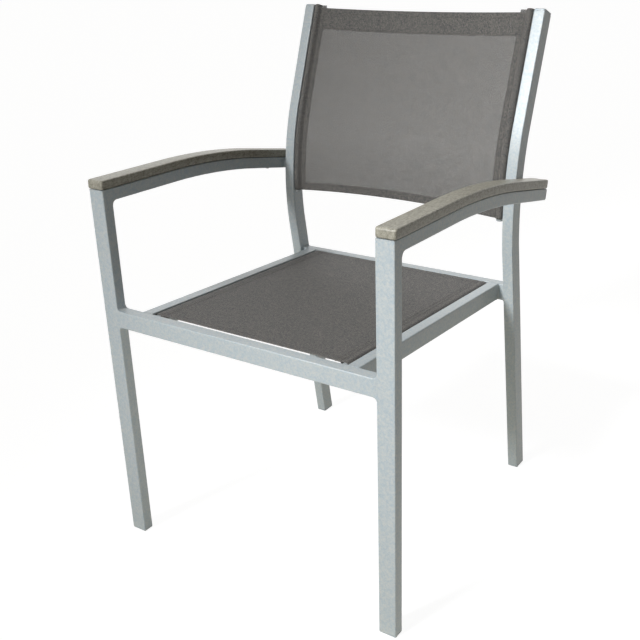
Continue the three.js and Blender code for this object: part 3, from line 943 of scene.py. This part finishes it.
def rail_weld_guides(side):
    inner = side * low("seat_side_rail_right").x
    outer = inner + side * TUBE_DEEP
    guides = []
    for x in (inner, outer):
        for under, top in ((UNDER_START, TOP_START), (rail_run, rail_run)):
            foot = seat_line.spot(under, -TUBE_WIDE, x)
            guides.append(corner_line(foot, seat_line.spot(top, 0.0, x)))
    for along in (UNDER_START, rail_run):
        guides.append(corner_line(*(seat_line.spot(along, -TUBE_WIDE, x) for x in (inner, outer))))
    return guides


def post_weld_guides(side):
    x = side * low("back_post_right").x
    outline = ((0.0, 0.0), (TUBE_DEEP, 0.0), (TUBE_DEEP, -TUBE_WIDE), (0.0, -TUBE_WIDE))
    corners = [seat_line.spot(rail_run + back, up, x) for back, up in outline]
    return [corner_line(a, b, POST_INSET) for a, b in zip(corners, corners[1:] + corners[:1])]


def spacer_weld_guides(side_name):
    """A ring at each end of the bush between post and arm."""
    low_corner, high_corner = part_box(f"arm_spacer_{side_name}")
    centre = (low_corner + high_corner) / 2
    radius = (high_corner.z - low_corner.z) / 2
    turns = np.linspace(0, 2 * math.pi, 20)
    return [
        [Vector((x, centre.y + radius * math.cos(a), centre.z + radius * math.sin(a))) for a in turns]
        for x in (low_corner.x, high_corner.x)
    ]


weld_beads = weld_tree()
weld_guides, spacer_guides = [], []
for side_name, side in SIDES:
    weld_guides += rail_weld_guides(side) + post_weld_guides(side)
    spacer_guides += spacer_weld_guides(side_name)
grown("frame_weld_beads", weld_guides, weld_beads, "frame")
grown("spacer_weld_beads", spacer_guides, weld_beads, "frame", Radius=0.0011, Pitch=0.0011)

# %% [markdown]
# The welds between the front legs and the front rail are the ones that everybody sees. They are filled
# and ground before coating, so the two tubes flow into each other with a small hollow above and below.
# One flat outline with two hollow corners, as deep as the tubes, is enough.

# %% Ground welds of the front rail
GROUND_RADIUS = 0.0055
GROUND_EDGE = 0.0012
EDGE_ROUND = 0.0023
GROUND_BITE = 0.0006
PROUD = 0.00005


def hollow(centre, radius, start_angle, end_angle, count):
    turns = np.linspace(start_angle, end_angle, count)
    return [(centre[0] + radius * math.cos(a), centre[1] + radius * math.sin(a)) for a in turns]


def filler(name, outlines, edge):
    """A solid between two equal outlines, its edges rounded."""
    shape = bmesh.new()
    front, back = ([shape.verts.new(corner) for corner in outline] for outline in outlines)
    shape.faces.new(front)
    shape.faces.new(list(reversed(back)))
    for k in range(len(front)):
        m = (k + 1) % len(front)
        shape.faces.new((front[m], front[k], back[k], back[m]))
    bmesh.ops.recalc_face_normals(shape, faces=shape.faces)
    piece = new_piece(name, finished_mesh(name, shape), frame_coat)
    round_edges(piece, edge, steeper_than=60)
    shade(piece)
    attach(piece, "root")
    print(name, "faces:", len(piece.data.polygons))


def ground_weld(name, side):
    """A filler between leg and rail. Its outline runs from the leg's inner face towards mid-width."""
    under, top = low("front_seat_rail").z, high("front_seat_rail").z
    r = GROUND_RADIUS
    outline = [(-EDGE_ROUND, under - r), (-EDGE_ROUND, top + r)]
    outline += hollow((r, top + r), r, math.pi, 1.5 * math.pi, 9)
    outline += [(r, top - EDGE_ROUND)]
    outline += [(GROUND_BITE, top - 2 * EDGE_ROUND), (GROUND_BITE, under + 2 * EDGE_ROUND)]
    outline += [(r, under + EDGE_ROUND)]
    outline += hollow((r, under - r), r, 0.5 * math.pi, math.pi, 9)
    leg_face = side * low("front_leg_right").x
    depths = (front_plane - PROUD, rail_back + PROUD)
    rings = [[(leg_face - side * inward, y, z) for inward, z in outline] for y in depths]
    filler(name, rings, GROUND_EDGE)


for side, sign in SIDES:
    ground_weld(f"ground_weld_{side}", sign)

# %% [markdown]
# Leg and arm meet in a mitre, welded and ground in the same way. Inside the corner the filler is a full
# hollow. Across both flat sides it runs along the mitre, so that no line shows there. The outline lies in
# the side view this time, and it is as wide as the tube.

# %% Ground welds of the arm corners
CORNER_RADIUS = 0.0070
CORNER_EDGE = 0.0010
CORNER_BITE = 0.0022
SEAM_HALF = 0.0012
SEAM_REACH = 0.0170


def corner_weld(name, side):
    """A filler in the corner of leg and arm. Its outline runs back from the leg and up from the arm."""
    r, bite, half = CORNER_RADIUS, CORNER_BITE, SEAM_HALF
    outline = [(-bite, -r)]
    outline += hollow((r, -r), r, math.pi, math.pi / 2, 12)
    outline += [(r, bite), (2 * half, bite), (0.0, 2 * half)]
    outline += [(-SEAM_REACH + half, SEAM_REACH + half), (-SEAM_REACH - half, SEAM_REACH - half)]
    outline += [(-2 * half, 0.0), (-bite, -2 * half)]
    corner_z = arm_line.spot(TUBE_DEEP, -TUBE_DEEP).z
    fall = math.tan(arm_line.heading)
    middle = side * mid_x("arm_tube_right")
    reach = TUBE_WIDE / 2 + PROUD
    widths = (middle - reach, middle + reach)
    rings = [[(x, rail_back + back, corner_z + up + fall * back) for back, up in outline] for x in widths]
    filler(name, rings, CORNER_EDGE)


for side, sign in SIDES:
    corner_weld(f"corner_weld_{side}", sign)

# %% [markdown]
# ## Armrest screws
#
# Three screws hold each slat from below, through the arm tube. Their heads show when the chair lies on
# its back or is stacked. One screw is modelled once, a pan head with a six-sided socket, and Geometry
# Nodes set it on the six places with its own turn of the wrench.

# %% Screws under the arms
HEAD_GAP = 0.0003
SCREW_HEAD = 0.004
SCREW_HEAD_HIGH = 0.0024
SCREW_LONG = 0.0303
SCREW_TIP = 0.003
SCREW_SHANK = 0.002
SOCKET_RADIUS = 0.0016
SOCKET_DEEP = 0.0015
SIXTH = math.pi / 3
ROUND_STEPS = 24
SCREW_SHARP = math.radians(35)


def six_sided(angle):
    """How far a six-sided hole reaches at an angle, if its corners reach 1."""
    off_flat = angle - (math.floor(angle / SIXTH) + 0.5) * SIXTH
    return math.cos(SIXTH / 2) / math.cos(off_flat)


def screw_mesh():
    """One screw along +Z, its head below zero, with a six-sided socket in the head."""
    shape = bmesh.new()
    profile = [
        (SOCKET_RADIUS, -SCREW_HEAD_HIGH + SOCKET_DEEP),
        (SOCKET_RADIUS, -SCREW_HEAD_HIGH),
        (SCREW_HEAD * 0.72, -SCREW_HEAD_HIGH * 0.94),
        (SCREW_HEAD * 0.93, -SCREW_HEAD_HIGH * 0.66),
        (SCREW_HEAD, -SCREW_HEAD_HIGH * 0.3),
        (SCREW_HEAD, 0.0),
        (SCREW_SHANK, 0.0),
        (SCREW_SHANK, SCREW_LONG - SCREW_TIP),
        (SCREW_SHANK * 0.3, SCREW_LONG),
    ]
    turns = [2 * math.pi * step / ROUND_STEPS for step in range(ROUND_STEPS)]
    rings = []
    for radius, z in profile:
        reach = [radius * (six_sided(a) if radius == SOCKET_RADIUS else 1.0) for a in turns]
        spots = [(r * math.cos(a), r * math.sin(a), z) for r, a in zip(reach, turns)]
        rings.append([shape.verts.new(spot) for spot in spots])
    for a, b in zip(rings, rings[1:]):
        for k in range(ROUND_STEPS):
            m = (k + 1) % ROUND_STEPS
            shape.faces.new((a[k], a[m], b[m], b[k]))
    shape.faces.new(list(reversed(rings[0])))
    shape.faces.new(rings[-1])
    bmesh.ops.recalc_face_normals(shape, faces=shape.faces)
    mesh = finished_mesh("armrest_screw_shape", shape)
    mesh.set_sharp_from_angle(angle=SCREW_SHARP)
    return mesh


def screw_tree(model):
    tree, sizes, curve = new_grower("armrest_screws", {"Seed": 4})
    one = add(tree, "GeometryNodeObjectInfo", {"Object": model}).outputs["Geometry"]
    feet = first(tree, "GeometryNodeCurveEndpointSelection", {"Start Size": 1, "End Size": 0})
    chance = add(tree, "FunctionNodeRandomValue", {"Seed": sizes["Seed"]}, data_type="FLOAT")
    spin = vector(tree, Z=times(tree, live(chance.outputs), 2 * math.pi))
    sockets = {"Points": curve, "Selection": feet, "Instance": one, "Rotation": along_tangent(tree)}
    placed = first(tree, "GeometryNodeInstanceOnPoints", sockets)
    turned = first(tree, "GeometryNodeRotateInstances", {"Instances": placed, "Rotation": spin})
    return finish_grower(tree, turned, screw_steel)


# %% Six screws
SCREW_STATIONS = (0.12, 0.5, 0.86)  # shares of the arm's length
screw_model = new_piece("screw_model", screw_mesh(), screw_steel)
screw_guides = []
for _, side in SIDES:
    middle = side * mid_x("arm_tube_right")
    for station in SCREW_STATIONS:
        depths = (-TUBE_DEEP - HEAD_GAP, 0.0)
        screw_guides.append([arm_line.spot(ARM_LENGTH * station, over, middle) for over in depths])
screws = grown("armrest_screws", screw_guides, screw_tree(screw_model), "screws")
screws.data.set_sharp_from_angle(angle=SCREW_SHARP)
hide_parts(*[f"armrest_screw_{side}_{n}" for side, _ in SIDES for n in (1, 2, 3)])
bpy.data.objects.remove(screw_model)
print("screw head at", rounded(screw_guides[-1][0]), "CAD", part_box("armrest_screw_right_3"))

# %% [markdown]
# ## Floor, light and camera
#
# The chair stands on a plain white floor under a white sky, as on a catalogue page. White light from all
# around would wash out its shape, so the floor and the sky are white only to the camera, to reflections
# and to what is seen through the cloth. What lights the chair is one soft lamp high at the left front, a
# small low one from the right front that reaches only the left leg, a weak one behind, and a calm grey
# sky that is darker on the right. The light that the floor throws back up comes from a painted pool of
# light: the floor's colour for bounced light is warm and bright near the chair and dark further away.

# %% Floor and sky
# A painted pool of light: the floor's colour for bounced light, warm and bright near the chair, dark
# further away.
POOL_LIGHT_NEAR = (0.97, 0.94, 0.80, 1)
POOL_LIGHT_FAR = (0.24, 0.23, 0.20, 1)
POOL_LIGHT_FADE = (1.8, 0.6)  # metres from the chair: all far, all near
FLOOR_HALF = 40.0


def seen_directly(tree):
    path = add(tree, "ShaderNodeLightPath").outputs
    seen = maths(tree, "MAXIMUM", path["Is Camera Ray"], path["Is Glossy Ray"])
    return maths(tree, "MAXIMUM", seen, path["Is Transmission Ray"])


def white_floor():
    material, tree = new_material("white_floor")
    from_chair = {"Vector": place_on_piece(tree)}
    away = add(tree, "ShaderNodeVectorMath", from_chair, operation="LENGTH").outputs["Value"]
    # Painted pool of light: what the floor throws back up fades with the distance from the chair.
    painted_light_pool = blend(tree, spread(tree, away, *POOL_LIGHT_FADE), POOL_LIGHT_FAR, POOL_LIGHT_NEAR)
    lit = first(tree, "ShaderNodeBsdfDiffuse", {"Color": painted_light_pool})
    pale = first(tree, "ShaderNodeBsdfDiffuse", {"Color": (0.26, 0.26, 0.26, 1)})
    glow = first(tree, "ShaderNodeEmission", {"Color": (1, 1, 1, 1), "Strength": 0.90})
    both = first(tree, "ShaderNodeAddShader", {0: pale, 1: glow})
    mixed = first(tree, "ShaderNodeMixShader", {0: seen_directly(tree), 1: lit, 2: both})
    add(tree, "ShaderNodeOutputMaterial", {"Surface": mixed})
    return material


floor_mesh = bpy.data.meshes.new("floor")
floor_corners = [(x * FLOOR_HALF, y * FLOOR_HALF, 0) for x, y in ((-1, -1), (1, -1), (1, 1), (-1, 1))]
floor_mesh.from_pydata(floor_corners, [], [(0, 1, 2, 3)])
floor = new_piece("floor", floor_mesh, white_floor())

world = bpy.data.worlds.new("studio_sky")
sky = empty_tree(world)
direction = add(sky, "ShaderNodeTexCoord").outputs["Generated"]
towards_sky = add(sky, "ShaderNodeSeparateXYZ", {"Vector": direction}).outputs
from_left = maths(sky, "MULTIPLY_ADD", towards_sky["X"], -0.24, 0.185)
ambient = maths(sky, "MULTIPLY_ADD", towards_sky["Z"], 0.13, from_left)
grey_sky = first(sky, "ShaderNodeBackground", {"Color": (1, 0.98, 0.93, 1), "Strength": ambient})
white_sky = first(sky, "ShaderNodeBackground", {"Color": (1, 1, 1, 1), "Strength": 1.0})
mixed_sky = first(sky, "ShaderNodeMixShader", {0: seen_directly(sky), 1: grey_sky, 2: white_sky})
add(sky, "ShaderNodeOutputWorld", {"Surface": mixed_sky})
bpy.context.scene.world = world
bpy.context.scene.view_settings.view_transform = "Standard"
print("stage:", floor.name, world.name)

# %% Lamps
LAMP_DISTANCE = 4.5
LAMP_WHITE = (0.97, 0.99, 1.0)
KEY_PLACE = (0.46, -0.10, 0.66)
FILL_PLACE = (-0.34, -0.15, 0.24)


def lamp(name, kind, power, azimuth, elevation, target=(0, 0, 0), distance=0.0):
    """A lamp turned to the chair. Azimuth 0 is straight in front of it, positive to its right."""
    az, el = math.radians(azimuth), math.radians(elevation)
    towards = Vector((math.sin(az) * math.cos(el), -math.cos(az) * math.cos(el), math.sin(el)))
    light = bpy.data.lights.new(name, kind)
    light.energy = power
    holder = put_in_scene(name, light)
    holder.location = Vector(target) + towards * distance
    holder.rotation_euler = towards.to_track_quat("Z", "Y").to_euler()
    print(name, kind, power, rounded(holder.location))
    return light


def wide_spot(name, target, azimuth, elevation, watts, size, reach):
    """A soft lamp whose light fades towards the rim of a round patch of the given reach."""
    light = lamp(name, "SPOT", watts, azimuth, elevation, target, LAMP_DISTANCE)
    light.color = LAMP_WHITE
    light.shadow_soft_size = size
    light.spot_size = 2 * math.atan(reach / LAMP_DISTANCE)
    light.spot_blend = 1.0


wide_spot("front_softbox", KEY_PLACE, azimuth=-21, elevation=31, watts=1130, size=0.55, reach=1.16)
wide_spot("side_fill", FILL_PLACE, azimuth=38, elevation=5, watts=280, size=0.3, reach=0.46)
lamp("back_fill", "SUN", 0.45, azimuth=205, elevation=25).angle = math.radians(60)

# %% [markdown]
# The camera stands where the photographer stood: at the chair's right front, a little above its back,
# tipped down and rolled by two degrees. Its place was worked out from the chair's own straight edges.

# %% Camera
CAMERA_AZIMUTH = math.radians(34.94)
CAMERA_ELEVATION = math.radians(22.91)
CAMERA_ROLL = math.radians(-2.07)
CAMERA_PLACE = Vector((0.84694, front_plane - 0.98607, 1.01382))
LENS_MM = 52.85
SENSOR_MM = 36.0
VIEW_END = 200.0
camera_data = bpy.data.cameras.new("photo_camera")
camera_data.lens = LENS_MM
camera_data.sensor_width = SENSOR_MM
camera_data.clip_end = VIEW_END
camera = put_in_scene("photo_camera", camera_data)
facing = Euler((math.pi / 2 - CAMERA_ELEVATION, 0.0, CAMERA_AZIMUTH)).to_matrix().to_4x4()
rolled = facing @ Matrix.Rotation(CAMERA_ROLL, 4, "Z")
camera.matrix_world = Matrix.Translation(CAMERA_PLACE) @ rolled
bpy.context.scene.camera = camera
print("camera at", rounded(CAMERA_PLACE))

# %% Hand over
print("frame box:", cad_box)
